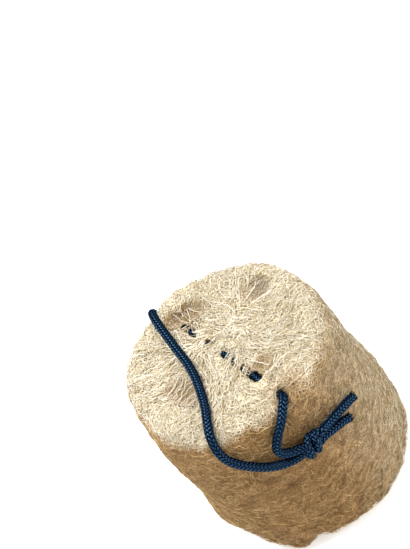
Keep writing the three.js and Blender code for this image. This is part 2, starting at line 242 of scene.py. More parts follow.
fineLine, finePositions = smoothRoute(cordRoute, 60)
fineLengths = np.append(0, np.cumsum(np.linalg.norm(np.diff(fineLine, axis=0), axis=1)))
cordLength = fineLengths[-1]
cordSamples = int(cordLength / cord["sampleStep"])
cordDistances = np.linspace(0, cordLength, cordSamples + 1)
cordLine = np.stack([np.interp(cordDistances, fineLengths, fineLine[:, k]) for k in range(3)], axis=1)
cordPositions = np.interp(cordDistances, fineLengths, finePositions)


# Directions that follow a line without twisting round it
def untwistedFrames(line):
    tangents = np.gradient(line, axis=0)
    tangents /= np.linalg.norm(tangents, axis=1)[:, None]
    side = np.cross(tangents[0], (0, 0, 1.0))
    normals = [side / np.linalg.norm(side)]
    for tangent in tangents[1:]:
        normal = normals[-1] - tangent * np.dot(normals[-1], tangent)
        normals.append(normal / np.linalg.norm(normal))
    normals = np.array(normals)
    return tangents, normals, np.cross(tangents, normals)


cordTangents, cordNormals, cordSides = untwistedFrames(cordLine)


# The cord is squeezed a little in the knot, and evenly thick elsewhere
def cordRadii():
    knots = [(firstTurnStart, overTheCutStart - 1), (secondTurnStart, shortTailStart - 1)]
    squeeze = np.zeros(len(cordPositions))
    for first, last in knots:
        rise = np.clip((cordPositions - first) / 1.5, 0, 1) * np.clip((last - cordPositions) / 1.5, 0, 1)
        squeeze = np.maximum(squeeze, rise)
    return (cord["diameter"] + (cord["knottedDiameter"] - cord["diameter"]) * squeeze) / 2


# Joins rings of points into closed tubes. rings has the shape tubes, places along, points round, 3
def tubeMesh(rings):
    tubes, places, sides, _ = rings.shape
    index = np.arange(tubes * places * sides).reshape(tubes, places, sides)
    here, ahead = index[:, :-1], index[:, 1:]
    quads = np.stack([here, np.roll(here, -1, 2), np.roll(ahead, -1, 2), ahead], axis=-1).reshape(-1, 4)
    triangles = np.concatenate([quads[:, (0, 1, 2)], quads[:, (0, 2, 3)]])
    for k in range(1, sides - 1):
        start = np.stack([index[:, 0, 0], index[:, 0, k + 1], index[:, 0, k]], axis=-1)
        end = np.stack([index[:, -1, 0], index[:, -1, k], index[:, -1, k + 1]], axis=-1)
        triangles = np.concatenate([triangles, start, end])
    return rings.reshape(-1, 3), triangles


# Braided yarns, two over and two under, between two samples, and how far each of their points lies on a crest
def braid(first, last):
    chosen = slice(first, last + 1)
    distance = cordDistances[chosen]
    radius = cordRadii()[chosen]
    line, normal, side = cordLine[chosen], cordNormals[chosen], cordSides[chosen]
    crossings = 2 * cord["carriers"] * distance / cord["pitch"]
    around = np.arange(cord["yarnSides"]) * tau / cord["yarnSides"]
    rings, crests, sharp = [], [], cord["weaveSharpness"]
    for way in (1, -1):
        for carrier in range(cord["carriers"]):
            angle = way * tau * distance / cord["pitch"] + tau * carrier / cord["carriers"]
            phase = 2 * carrier + way * crossings - (0.5 if way == 1 else 2.5)
            lift = np.tanh(sharp * np.cos(tau * phase / 4)) / np.tanh(sharp)
            outward = normal * np.cos(angle)[:, None] + side * np.sin(angle)[:, None]
            depth = cord["yarnThickness"] / 2 + cord["weaveDepth"] * (1 - lift) / 2
            middle = line + outward * (radius - depth)[:, None]
            ahead = np.gradient(middle, axis=0)
            ahead /= np.linalg.norm(ahead, axis=1)[:, None]
            across = np.cross(ahead, outward)
            across /= np.linalg.norm(across, axis=1)[:, None]
            wide = across * cord["yarnWidth"] / 2
            thick = outward * cord["yarnThickness"] / 2
            ring = [middle + wide * cos(a) + thick * sin(a) for a in around]
            rings.append(np.stack(ring, axis=1))
            raised = 0.5 + 0.5 * np.cos(tau * phase / 4)
            crests.append(raised[:, None] * np.clip(np.sin(around), 0, 1))
    return np.array(rings), np.array(crests).ravel()


def cordCore(first, last):
    chosen = slice(first, last + 1, 3)
    radius = cordRadii()[chosen] - cord["yarnThickness"] - cord["weaveDepth"] * 0.6
    around = np.arange(cord["coreSides"]) * tau / cord["coreSides"]
    line, normal, side = cordLine[chosen], cordNormals[chosen], cordSides[chosen]
    ring = [line + (normal * cos(a) + side * sin(a)) * radius[:, None] for a in around]
    return np.stack(ring, axis=1)[None]


# Loose filament ends at a cut end of the cord
def frayedEnd(sample, way, seed):
    rng = np.random.default_rng(seed)
    rings = []
    ahead = cordTangents[sample] * way
    for _ in range(fray["count"]):
        angle, out = rng.uniform(0, tau), cord["diameter"] / 2 * fray["spread"] * rng.uniform(0, 1) ** 0.5
        outward = cordNormals[sample] * cos(angle) + cordSides[sample] * sin(angle)
        start = cordLine[sample] + outward * out - ahead * fray["root"]
        lean = ahead + outward * fray["splay"] * rng.uniform(-0.2, 1) + rng.normal(0, fray["stray"], 3)
        reach = (rng.uniform(*fray["length"]) + fray["root"]) * lean / np.linalg.norm(lean)
        bend = rng.normal(0, fray["stray"] * mm, 3)
        places = np.array([start, start + reach * 0.5 + bend, start + reach + outward * 0.1 * mm])
        turned = np.cross(lean, outward)
        turned /= np.linalg.norm(turned)
        other = np.cross(lean, turned) / np.linalg.norm(np.cross(lean, turned))
        ring = [places + (turned * cos(a) + other * sin(a)) * fray["radius"] for a in thirds]
        rings.append(np.stack(ring, axis=1))
    return np.array(rings)


def joinMeshes(parts):
    points, faces, offset = [], [], 0
    for partPoints, partFaces in parts:
        points.append(partPoints)
        faces.append(partFaces + offset)
        offset += len(partPoints)
    return np.concatenate(points), np.concatenate(faces)


# Navy braided cord of polyester multifilament, dyed dark through. Its base colour is painted darker in the
# gaps between the yarns as painted shade, and its satin gloss is painted brighter on the yarns' crests as
# painted glints
def makeCordMaterial():
    material, tree = newMaterial("braidedPolyesterNavy")
    output = addNode(tree, "ShaderNodeOutputMaterial")
    place = addNode(tree, "ShaderNodeTexCoord")
    crest = addNode(tree, "ShaderNodeAttribute", {"attribute_name": "crest"})
    # Painted shade: the base colour runs from near black in the gaps between the yarns to navy on their
    # crests
    ramp = addNode(tree, "ShaderNodeValToRGB", links={"Fac": (crest, "Fac")})
    setRamp(ramp, [(0.35, "#010308"), (0.7, "#020916"), (0.98, "#0c2740")])
    # Painted highlight: the gloss colour is bright on the yarns' crests and dark in the gaps
    paintedGlintColour = addNode(tree, "ShaderNodeValToRGB", links={"Fac": (crest, "Fac")})
    setRamp(paintedGlintColour, [(0.35, "#050a12"), (0.98, "#304a64")])
    grain = addNode(tree, "ShaderNodeTexNoise", links={"Vector": (place, "Object")},
                    values={"Scale": 1 / (0.35 * mm), "Detail": 3.0, "Roughness": 0.6})
    bump = addNode(tree, "ShaderNodeBump", values={"Strength": 0.12, "Distance": 0.08 * mm},
                   links={"Height": (grain, "Fac")})
    dyeWithPaintedShade = addNode(tree, "ShaderNodeBsdfPrincipled",
                  values={"Roughness": 0.6, "IOR": 1.57, "Specular IOR Level": 0.0},
                  links={"Base Color": (ramp, "Color"), "Normal": (bump, "Normal")})
    glint = addNode(tree, "ShaderNodeBsdfAnisotropic", values={"Roughness": 0.24},
                    links={"Color": (paintedGlintColour, "Color"), "Normal": (bump, "Normal")})
    both = addNode(tree, "ShaderNodeAddShader", links={0: (dyeWithPaintedShade, "BSDF"), 1: (glint, "BSDF")})
    tree.links.new(both.outputs["Shader"], output.inputs["Surface"])
    return material


cordMaterial = makeCordMaterial()


def makeCord(name, span, ends):
    first, last = [int(np.argmin(np.abs(cordPositions - place))) for place in span]
    rings, crests = braid(first, last)
    parts = [tubeMesh(rings), tubeMesh(cordCore(first, last))]
    parts += [tubeMesh(frayedEnd(*end)) for end in ends]
    points, faces = joinMeshes(parts)
    piece = newPiece(name, points, faces, cordMaterial)
    addAttribute(piece, "crest", np.append(crests, np.full(len(points) - len(crests), 0.3)))
    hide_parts("cord")
    return piece, first, last


def declareCord(first, last, exitSample):
    line = cordLine[first:last + 1]
    if exitSample == last:
        line = line[::-1]


cordLong, longFirst, longLast = makeCord("cordLong", (0, insideStart), [(0, -1, 11)])
declareCord(longFirst, longLast, longLast)
cordInside, _, _ = makeCord("cordInside", (insideStart, insideEnd), [])
shortSpan = (insideEnd, len(cordRoute) - 1)
cordShort, shortFirst, shortLast = makeCord("cordShort", shortSpan, [(cordSamples, 1, 12)])
declareCord(shortFirst, shortLast, shortFirst)
print("cord braided,", round(cordLength / mm), "mm in all")


# The sponge. Its skin is the CAD solid with the net smoothed away, and its fibres are laid on that skin.
sponge = {
    "voxel": 1.5 * mm,
    "smoothing": 110,  # rounds of smoothing that take the CAD net away and keep the rims
    "skinLift": 0.4 * mm,
    "coreDepth": 0.7 * mm,  # the dense inner net, below the loose fibres
    "trenchWidth": 5.4 * mm,  # the open net over the cord, just under the upper cut
}
heartPlace = Vector((1.5 * mm, 3 * mm))  # where the gourd's heart meets the upper cut
# The seed channels at the upper cut: middle, half widths, turn of the longer one
channels = [
    {"x": -4 * mm, "y": 34 * mm, "half": (12.5 * mm, 5.8 * mm), "turn": radians(-8)},
    {"x": 30 * mm, "y": 19.6 * mm, "half": (7.2 * mm, 6.8 * mm), "turn": radians(30)},
    {"x": 11.2 * mm, "y": -20.6 * mm, "half": (6.8 * mm, 5.4 * mm), "turn": radians(20)},
    {"x": -24 * mm, "y": -8 * mm, "half": (12.6 * mm, 7 * mm), "turn": radians(-62)},
]


# Where the weathered skin reaches over the rim: which way it does most, how far the skin has to face upwards
# to be cut, how much more on that side, and the spot where the cord draws it in
overRim = {"way": (0.91, -0.42), "least": 0.07, "more": 0.42, "drawn": (16 * mm, -44 * mm), "reach": 9 * mm}


# How far a place is from a channel's middle: 1 on the edge of its mouth
def channelReach(x, y, channel):
    dx, dy = x - channel["x"], y - channel["y"]
    along = dx * np.cos(channel["turn"]) + dy * np.sin(channel["turn"])
    across = -dx * np.sin(channel["turn"]) + dy * np.cos(channel["turn"])
    return np.hypot(along / channel["half"][0], across / channel["half"][1])


def nearestChannel(x, y):
    return np.min([channelReach(x, y, channel) for channel in channels], axis=0)


# The channels' walls are pale at the cut and darker golden below it: partly their own colour, partly painted
# shade of the channel's depth
def channelCutAndDepthShade(heights):
    return np.clip((heights / mm - 94.2) / 4.5, 0.25, 1)


def readPoints(items, key, size=3):
    values = np.empty(len(items) * size)
    items.foreach_get(key, values)
    return values.reshape(-1, size) if size > 1 else values


# Evens a surface out and back by turns, which takes small bumps away and shrinks nothing
def evenOut(mesh, rounds):
    points = readPoints(mesh.vertices, "co")
    edges = np.empty(len(mesh.edges) * 2, dtype=np.int64)
    mesh.edges.foreach_get("vertices", edges)
    first, second = edges.reshape(-1, 2).T
    count = len(points)
    degree = np.bincount(first, minlength=count) + np.bincount(second, minlength=count)
    for share in (0.63, -0.67) * rounds:
        for k in range(3):
            column = points[:, k]
            total = np.bincount(first, column[second], count) + np.bincount(second, column[first], count)
            points[:, k] = column + share * (total / degree - column)
    mesh.vertices.foreach_set("co", points.ravel())
    mesh.update()


def smoothSkin():
    rough = bpy.data.objects.new("roughSkin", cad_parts["sponge"].data.copy())
    bpy.context.scene.collection.objects.link(rough)
    remesh = rough.modifiers.new("remesh", "REMESH")
    remesh.mode = "VOXEL"
    remesh.voxel_size = sponge["voxel"]
    mesh = bpy.data.meshes.new_from_object(rough.evaluated_get(bpy.context.evaluated_depsgraph_get()))
    bpy.data.objects.remove(rough)
    evenOut(mesh, sponge["smoothing"])
    lifted = readPoints(mesh.vertices, "co") + readPoints(mesh.vertices, "normal") * sponge["skinLift"]
    mesh.vertices.foreach_set("co", lifted.ravel())
    mesh.update()
    return mesh


skin = smoothSkin()
skinTree = BVHTree.FromPolygons([v.co for v in skin.vertices], [p.vertices[:] for p in skin.polygons])
print("skin has", len(skin.polygons), "faces")


# Gaps in the net of the upper cut that the hidden stretch of cord shows through: place and half width
gaps = [
    ((x * mm, y * mm), reach * mm) for x, y, reach in [
        (-8.6, 29.5, 1.6), (-7.6, 23.4, 1.0), (-7.2, 20.6, 1.1), (-3.0, 11.7, 0.8), (-0.7, -1.5, 1.5),
        (1.7, -7.8, 0.8), (2.7, -15.2, 0.9), (5.5, -18.9, 0.8), (5.9, -23.4, 2.6), (6.1, -26.4, 3.0),
        (6.4, -29.4, 3.0),
    ]
]
gapLean = 2 * mm  # how far behind its gap the cord shows, seen from the front above
gapSlant = 1.11  # the same for each millimetre below the cut


# Opens the core along the hidden cord, so that it shows between the fibres above
def openTrench(places):
    hidden = cordLine[(cordPositions > throughStart + 3) & (cordPositions < frontStart - 3)][::3]
    away = np.linalg.norm(places[:, None, :2] - hidden[None, :, :2], axis=2)
    nearest = hidden[np.argmin(away, axis=1)]
    below = nearest[:, 2] - cord["diameter"] * 0.6
    spots = np.array([(x, y + gapLean) for (x, y), _ in gaps])
    widths = np.array([reach for _, reach in gaps])
    nearGap = (np.linalg.norm(places[:, None, :2] - spots[None], axis=2) < widths + 2.6 * mm).any(axis=1)
    inTrench = (np.min(away, axis=1) < sponge["trenchWidth"] / 2) & (places[:, 2] > below) & nearGap
    places[inTrench, 2] = below[inTrench]
    return places


# How far a place belongs to the pale cuts, from how far the skin there faces upwards, or down at the foot
def cutShareOf(normals, places):
    level = normals[:, :2] / np.maximum(np.linalg.norm(normals[:, :2], axis=1), 0.05)[:, None]
    towards = 0.5 + 0.5 * (level[:, 0] * overRim["way"][0] + level[:, 1] * overRim["way"][1])
    least = overRim["least"] + overRim["more"] * towards
    slope = np.clip((normals[:, 2] - least) / 0.54, 0, 1) * np.clip((places[:, 2] / mm - 74) / 10, 0, 1)
    away = np.hypot(places[:, 0] - overRim["drawn"][0], places[:, 1] - overRim["drawn"][1])
    drawn = np.exp(-((away / overRim["reach"]) ** 2))
    foot = np.clip((-normals[:, 2] - 0.6) / 0.3, 0, 1) * np.clip((12 - places[:, 2] / mm) / 6, 0, 1)
    return np.maximum(slope * slope * (3 - 2 * slope) * (1 - drawn), foot)


# One net of strands over pits: 1 on the strands, 0 in the pits
def addNet(tree, place, cell, strand):
    bent = addNode(tree, "ShaderNodeTexNoise", values={"Scale": 1 / (cell * 1.6), "Detail": 1.0},
                   links={"Vector": (place, "Object")})
    shifted = addNode(tree, "ShaderNodeVectorMath", {"operation": "MULTIPLY_ADD"},
                      {1: (cell, cell, cell)}, {0: (bent, "Color"), 2: (place, "Object")})
    squeezed = addNode(tree, "ShaderNodeVectorMath", {"operation": "MULTIPLY"}, {1: (1, 1, 1.5)},
                       {0: (shifted, "Vector")})
    cells = addNode(tree, "ShaderNodeTexVoronoi", {"feature": "DISTANCE_TO_EDGE"}, {"Scale": 1 / cell},
                    {"Vector": (squeezed, "Vector")})
    return addNode(tree, "ShaderNodeMapRange", {"interpolation_type": "SMOOTHSTEP"},
                   {"From Min": strand, "From Max": strand * 0.35, "To Min": 0, "To Max": 1},
                   {"Value": (cells, "Distance")})


# The colour of the skin by its tone: tan, painted darker and more orange at the left and the front as painted
# shade, and paler and greyer towards +X as painted light from the right
def addSkinColour(tree, place, tone, shadedSideStops, litSideStops):
    tan = addNode(tree, "ShaderNodeValToRGB", links={"Fac": tone})
    setRamp(tan, shadedSideStops)
    pale = addNode(tree, "ShaderNodeValToRGB", links={"Fac": tone})
    setRamp(pale, litSideStops)
    parts = addNode(tree, "ShaderNodeSeparateXYZ", links={"Vector": (place, "Object")})
    # Painted light: the share of the paler colours grows towards +X, the side lit from the right
    share = addNode(tree, "ShaderNodeMapRange", {"interpolation_type": "SMOOTHSTEP"},
                    {"From Min": 5 * mm, "From Max": 52 * mm}, {"Value": (parts, "X")})
    return addNode(tree, "ShaderNodeMix", {"data_type": "RGBA"},
                   links={0: (share, "Result"), 6: (tan, "Color"), 7: (pale, "Color")})


# The dense inner net below the loose fibres: matt, with its pits painted dark ochre as painted shade of the
# net's depths, and on its strands about as pale as the middling fibres
def makeCoreMaterial():
    material, tree = newMaterial("driedLuffaInnerNet")
    output = addNode(tree, "ShaderNodeOutputMaterial")
    place = addNode(tree, "ShaderNodeTexCoord")
    cut = addNode(tree, "ShaderNodeAttribute", {"attribute_name": "cut"})
    fine = addNet(tree, place, 0.95 * mm, 0.17)
    coarse = addNet(tree, place, 1.7 * mm, 0.1)
    net = addNode(tree, "ShaderNodeMath", {"operation": "MAXIMUM"},
                  links={0: (fine, "Result"), 1: (coarse, "Result")})
    # Painted shade: here and on the cut below, the colours run darker into the net's pits
    skin = addSkinColour(tree, place, (net, "Value"), [(0.0, "#644119"), (1.0, "#b99059")],
                         [(0.0, "#7a5e34"), (1.0, "#cdb48a")])
    cutRamp = addNode(tree, "ShaderNodeValToRGB", links={"Fac": (net, "Value")})
    setRamp(cutRamp, [(0.0, "#806b40"), (1.0, "#dacdaf")])
    colour = addNode(tree, "ShaderNodeMix", {"data_type": "RGBA"},
                     links={0: (cut, "Fac"), 6: (skin, 2), 7: (cutRamp, "Color")})
    bump = addNode(tree, "ShaderNodeBump", values={"Strength": 1.0, "Distance": 0.4 * mm},
                   links={"Height": (net, "Value")})
    shader = addNode(tree, "ShaderNodeBsdfPrincipled", values={"Roughness": 0.85, "IOR": 1.53},
                     links={"Base Color": (colour, 2), "Normal": (bump, "Normal")})
    tree.links.new(shader.outputs["BSDF"], output.inputs["Surface"])
    return material


def makeCore():
    mesh = skin.copy()
    core = bpy.data.objects.new("spongeCore", mesh)
    bpy.context.scene.collection.objects.link(core)
    mesh.materials.clear()
    mesh.materials.append(makeCoreMaterial())
    mesh.polygons.foreach_set("use_smooth", np.ones(len(mesh.polygons), dtype=bool))
    mesh.polygons.foreach_set("material_index", np.zeros(len(mesh.polygons), dtype=np.int32))
    places, normals = readPoints(mesh.vertices, "co"), readPoints(mesh.vertices, "normal")
    inward = openTrench(places - normals * sponge["coreDepth"])
    mesh.vertices.foreach_set("co", inward.ravel())
    inChannel = nearestChannel(places[:, 0], places[:, 1]) < 1.05
    share = cutShareOf(normals, places)
    addAttribute(core, "cut", np.where(inChannel, channelCutAndDepthShade(places[:, 2]), share))
    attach(core, "root")
    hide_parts("sponge")
    return core


core = makeCore()
print("core made,", len(core.data.polygons), "faces")


# Dried vascular fibre of the gourd: pale straw where cut, tan on the weathered skin with painted light and
# shade across it, and thin enough to let a quarter of the light through, which keeps the net's depths warm
def makeFibreMaterial():
    material, tree = newMaterial("driedLuffaFibre")
    output = addNode(tree, "ShaderNodeOutputMaterial")
    tone = addNode(tree, "ShaderNodeAttribute", {"attribute_name": "tone"})
    cut = addNode(tree, "ShaderNodeAttribute", {"attribute_name": "cut"})
    place = addNode(tree, "ShaderNodeTexCoord")
    # Painted light and shade: the skin's tan is paler towards +X and darker at the left and the front
    skin = addSkinColour(tree, place, (tone, "Fac"), [(0.0, "#8c6737"), (0.5, "#b08a55"), (1.0, "#dec289")],
                         [(0.0, "#a08558"), (0.5, "#c5b087"), (1.0, "#efe6d0")])
    cutRamp = addNode(tree, "ShaderNodeValToRGB", links={"Fac": (tone, "Fac")})
    setRamp(cutRamp, [(0.0, "#b8a37b"), (0.4, "#d5c6a5"), (1.0, "#fcf7ea")])
    colour = addNode(tree, "ShaderNodeMix", {"data_type": "RGBA"},
                     links={0: (cut, "Fac"), 6: (skin, 2), 7: (cutRamp, "Color")})
    patches = addNode(tree, "ShaderNodeTexNoise", values={"Scale": 1 / (14 * mm), "Detail": 3.0},
                      links={"Vector": (place, "Object")})
    level = addNode(tree, "ShaderNodeMapRange", values={"From Min": 0.3, "From Max": 0.7, "To Min": 0.93,
                                                        "To Max": 1.05}, links={"Value": (patches, "Fac")})
    stained = addNode(tree, "ShaderNodeMix", {"data_type": "RGBA", "blend_type": "MULTIPLY"}, {0: 1.0},
                      {6: (colour, 2), 7: (level, "Result")})
    grain = addNode(tree, "ShaderNodeTexNoise", values={"Scale": 1 / (0.4 * mm), "Detail": 2.0},
                    links={"Vector": (place, "Object")})
    bump = addNode(tree, "ShaderNodeBump", values={"Strength": 0.3, "Distance": 0.06 * mm},
                   links={"Height": (grain, "Fac")})
    shader = addNode(tree, "ShaderNodeBsdfPrincipled", values={"Roughness": 0.7, "IOR": 1.53},
                     links={"Base Color": (stained, 2), "Normal": (bump, "Normal")})
    glow = addNode(tree, "ShaderNodeBsdfTranslucent",
                   links={"Color": (stained, 2), "Normal": (bump, "Normal")})
    mixed = addNode(tree, "ShaderNodeMixShader", values={0: 0.25},
                    links={1: (shader, "BSDF"), 2: (glow, "BSDF")})
    tree.links.new(mixed.outputs["Shader"], output.inputs["Surface"])
    return material


fibreMaterial = makeFibreMaterial()


# Where on the skin each family of fibres may start
faceCentres, faceNormals = readPoints(skin.polygons, "center"), readPoints(skin.polygons, "normal")
faceAreas = readPoints(skin.polygons, "area", 1)


def faceZones():
    x, y, z = faceCentres.T
    inChannel = nearestChannel(x, y) < 1.12
    up = faceNormals[:, 2]
    walls = inChannel & (np.hypot(x, y) < 46 * mm) & (z < cutLevel - 1 * mm) & (np.abs(up) < 0.93)
    cut = (up > 0.45) & (z > 78 * mm) & ~walls
    foot = (up < -0.6) & (z < 16 * mm) & ~walls
    tunnel = (np.hypot(x, y) < 46 * mm) & (z > 80 * mm) & ~walls & ~cut
    return {"wall": walls, "cut": cut, "foot": foot, "side": ~walls & ~cut & ~foot & ~tunnel}


zones = faceZones()


# The share of fibres that end where they meet this place
def openness(place):
    if place.z < 88 * mm:
        return 0.0
    back = max(cutLevel - 1.5 * mm - place.z, 0) * gapSlant
    for (x, y), reach in gaps:
        if (place.x - x) ** 2 + (place.y - back - y) ** 2 < reach**2:
            return 1.0
    return 0.0


# Directions that fibres tend to follow, as unit vectors lying in the skin
def roundTheGourd(place, normal):
    level = Vector((-normal.y, normal.x, 0))
    if level.length < 0.2:
        level = Vector((-place.y, place.x, 0))
    level.normalize()
    swirl = 0.9 * noise.noise(place * 38) + 0.5 * noise.noise(place * 90 + Vector((7, 3, 1)))
    return level * cos(swirl) + normal.cross(level) * sin(swirl)


def outFromTheHeart(place, normal):
    out = Vector((place.x - heartPlace.x, place.y - heartPlace.y, 0))
    out = out - normal * out.dot(normal)
    if out.length < 1e-5:
        out = Vector((1, 0, 0))
    out.normalize()
    swirl = 2.4 * noise.noise(place * 40 + Vector((3, 9, 5)))
    return out * cos(swirl) + normal.cross(out) * sin(swirl)


def alongTheGourd(place, normal):
    up = Vector((0, 0, 1)) - normal * normal.z
    if up.length < 0.2:
        return outFromTheHeart(place, normal)
    up.normalize()
    swirl = 0.8 * noise.noise(place * 60 + Vector((1, 5, 2)))
    return up * cos(swirl) + normal.cross(up) * sin(swirl)


# Across the gourd's length at a slant, one way in some places and the other way in others
def aslant(place, normal):
    level = Vector((-normal.y, normal.x, 0))
    if level.length < 0.2:
        level = Vector((-place.y, place.x, 0))
    level.normalize()
    slant = 0.9 + 0.8 * noise.noise(place * 70 + Vector((2, 4, 8)))
    if noise.noise(place * 400) < 0:
        slant = -slant
    return level * cos(slant) + normal.cross(level) * sin(slant)


# Families of fibres: where they start, how many metres, half thickness, length, step, how hard they follow
# their direction and curl, height above the skin, and how much they weave up and down, in mm. Some have a
# tone of their own, or gather within a distance of the heart and keep off it.
families = [
    {"name": "sideNetRound", "zone": "side", "metres": 34, "radius": (0.1, 0.16), "length": (3, 9),
     "step": 1.4, "field": roundTheGourd, "pull": 0.06, "curl": 0.42, "height": (-0.1, 0.4),
     "weave": 0.25, "seed": 1},
    {"name": "sideNetAslant", "zone": "side", "metres": 26, "radius": (0.09, 0.14), "length": (2.5, 8),
     "step": 1.4, "field": aslant, "pull": 0.04, "curl": 0.48, "height": (-0.5, 0.2),
     "weave": 0.25, "seed": 2},
    {"name": "sideStrands", "zone": "side", "metres": 12, "radius": (0.1, 0.15), "length": (2, 6),
     "step": 1.4, "field": roundTheGourd, "pull": 0.08, "curl": 0.38, "height": (0.1, 0.5),
     "weave": 0.25, "seed": 7, "tone": 0.85},
    {"name": "cutHairs", "zone": "cut", "metres": 7, "radius": (0.08, 0.14), "length": (3, 12), "step": 1.5,
     "field": outFromTheHeart, "pull": 0.0, "curl": 0.4, "height": (-0.6, 0.4), "weave": 0.4, "seed": 3,
     "tone": 0.75},
    {"name": "cutStrands", "zone": "cut", "metres": 9, "radius": (0.14, 0.3), "length": (6, 22), "step": 1.6,
     "field": outFromTheHeart, "pull": 0.3, "curl": 0.14, "height": (0, 0.5), "weave": 0.3, "seed": 4,
     "gather": 27, "offHeart": 8, "tone": 0.5},
    {"name": "channelNet", "zone": "wall", "metres": 14, "radius": (0.1, 0.17), "length": (6, 20),
     "step": 2.2, "field": alongTheGourd, "pull": 0.12, "curl": 0.34, "height": (-0.4, 0.6),
     "weave": 0.4, "seed": 5},
    {"name": "footNet", "zone": "foot", "metres": 15, "radius": (0.15, 0.26), "length": (8, 24), "step": 2.2,
     "field": outFromTheHeart, "pull": 0.1, "curl": 0.4, "height": (-0.7, 0.1), "weave": 0.3, "seed": 6},
]
# Fibres from wall to wall of the channels, in layers, by depth below the cut
channelFloors = {"depths": (4, 6, 8, 10), "perSquareCm": 9, "radius": (0.13, 0.2), "sag": 1.2, "seed": 21}
# The net of the cut, in layers: mesh width, height above the skin, the strands' half thickness
cutNets = [
    {"name": "cutNetUpper", "mesh": 2.0, "height": 0.2, "uneven": 0.3, "radius": (0.12, 0.24), "tone": 0.8,
     "bent": True, "seed": 31},
    # The lower net's dark tone is painted shade of its depth below the upper net
    {"name": "cutNetLower", "mesh": 1.6, "height": -0.9, "uneven": 0.3, "radius": (0.1, 0.18), "tone": 0.2,
     "bent": False, "seed": 32},
]
channelNets = {"depths": (0.7, 1.6, 2.5), "mesh": 1.05, "uneven": 0.3, "radius": (0.12, 0.2), "tone": 0.95,
               "seed": 33}
channelBridges = {"counts": (5, 5, 3, 14), "depth": (-0.6, 1.0), "radius": (0.14, 0.24), "scatter": 0.3,
                  "seed": 22}
# How fibres grow: the share that sets out in the family's direction, how much curl they keep at each step,
# how long their waves are in mm, and their tones
growth = {"directed": 0.75, "curlKept": 0.6, "wave": (3, 7), "toneSpread": 0.3, "usualTone": 0.45}

cordTree = kdtree.KDTree(len(cordLine))
for number, point in enumerate(cordLine):
    cordTree.insert(point, number)
cordTree.balance()
cordHold = cord["diameter"] / 2 + 0.15 * mm


# One fibre as lists of its points, the skin's normals there and its heights
def growFibre(family, start, rng):
    place, normal, _, _ = skinTree.find_nearest(start)
    turn = rng.uniform(0, tau)
    level = normal.orthogonal().normalized()
    heading = level * cos(turn) + normal.cross(level) * sin(turn)
    field = family["field"]
    if rng.random() < growth["directed"]:
        heading = field(place, normal) * rng.choice((-1, 1)) + heading * 0.5
    step = family["step"] * mm
    steps = max(3, int(rng.uniform(*family["length"]) / family["step"]))
    height = rng.uniform(*family["height"]) * mm
    wave, shift = rng.uniform(*growth["wave"]) * mm, rng.uniform(0, tau)
    bare = family.get("offHeart", 0) * mm * 0.7
    curl, points, normals = 0.0, [], []
    for i in range(steps + 1):
        if rng.random() < openness(place) or (place.xy - heartPlace).length < bare:
            break
        rise = height + family["weave"] * mm * sin(tau * i * step / wave + shift)
        points.append(place + normal * rise)
        normals.append(normal)
        curl = growth["curlKept"] * curl + rng.normal(0, family["curl"])
        wish = field(place, normal)
        if wish.dot(heading) < 0:
            wish = -wish
        heading = heading + wish * family["pull"] + normal.cross(heading) * curl
        heading = heading - normal * heading.dot(normal)
        heading.normalize()
        place, normal, _, _ = skinTree.find_nearest(place + heading * step)
    return points, normals


def growFamily(family):
    rng = np.random.default_rng(family["seed"])
    chosen = np.flatnonzero(zones[family["zone"]])
    share = faceAreas[chosen].copy()
    if "gather" in family:
        away = np.linalg.norm(faceCentres[chosen][:, :2] - heartPlace, axis=1) / mm
        share *= (np.exp(-((away / family["gather"]) ** 2)) + 0.12) * (away > family["offHeart"])
    share /= share.sum()
    wanted = family["metres"] * 1
    points, normals, counts, tones, radii, grown = [], [], [], [], [], 0.0
    starts = iter(())
    while grown < wanted:
        face = next(starts, None)
        if face is None:
            starts = iter(rng.choice(chosen, 4000, p=share))
            continue
        start = Vector(faceCentres[face] + rng.normal(0, sponge["voxel"] / 2, 3))
        fibrePoints, fibreNormals = growFibre(family, start, rng)
        if len(fibrePoints) < 3:
            continue
        points += fibrePoints
        normals += fibreNormals
        counts.append(len(fibrePoints))
        tones.append(rng.normal(family.get("tone", growth["usualTone"]), growth["toneSpread"]))
        radii.append(rng.uniform(*family["radius"]) * mm)
        grown += (len(fibrePoints) - 1) * family["step"] * mm
    return np.array(points), np.array(normals), np.array(counts), np.array(tones), np.array(radii)


# Three-sided closed tubes along many fibres at once
def fibreMesh(points, normals, counts, radii):
    last = np.cumsum(counts) - 1
    first = last - counts + 1
    ahead = np.empty_like(points)
    ahead[1:-1] = points[2:] - points[:-2]
    ahead[first] = points[first + 1] - points[first]
    ahead[last] = points[last] - points[last - 1]
    ahead /= np.linalg.norm(ahead, axis=1)[:, None]
    side = np.cross(ahead, normals)
    side /= np.linalg.norm(side, axis=1)[:, None]
    out = np.cross(side, ahead)
    radius = np.repeat(radii, counts)
    radius[first] *= 0.55
    radius[last] *= 0.55
    rings = [points + (out * cos(a) + side * sin(a)) * radius[:, None] for a in thirds]
    index = np.arange(len(points) * 3).reshape(-1, 3)
    keep = np.ones(len(points), dtype=bool)
    keep[last] = False
    here, after = index[keep], index[np.flatnonzero(keep) + 1]
    faces = []
    for k in range(3):
        m = (k + 1) % 3
        faces.append(np.stack([here[:, k], here[:, m], after[:, m]], axis=1))
        faces.append(np.stack([here[:, k], after[:, m], after[:, k]], axis=1))
    faces.append(index[first][:, (0, 2, 1)])
    faces.append(index[last])
    return np.stack(rings, axis=1).reshape(-1, 3), np.concatenate(faces)


# Pushes the fibres' points out of the cord and above the floor
def clearOfCord(points, radius):
    for number, point in enumerate(points):
        near, _, distance = cordTree.find(point)
        if 1e-6 < distance < cordHold:
            points[number] = np.array(near) + (point - np.array(near)) * cordHold / distance
    points[:, 2] = np.maximum(points[:, 2], radius)
    return points


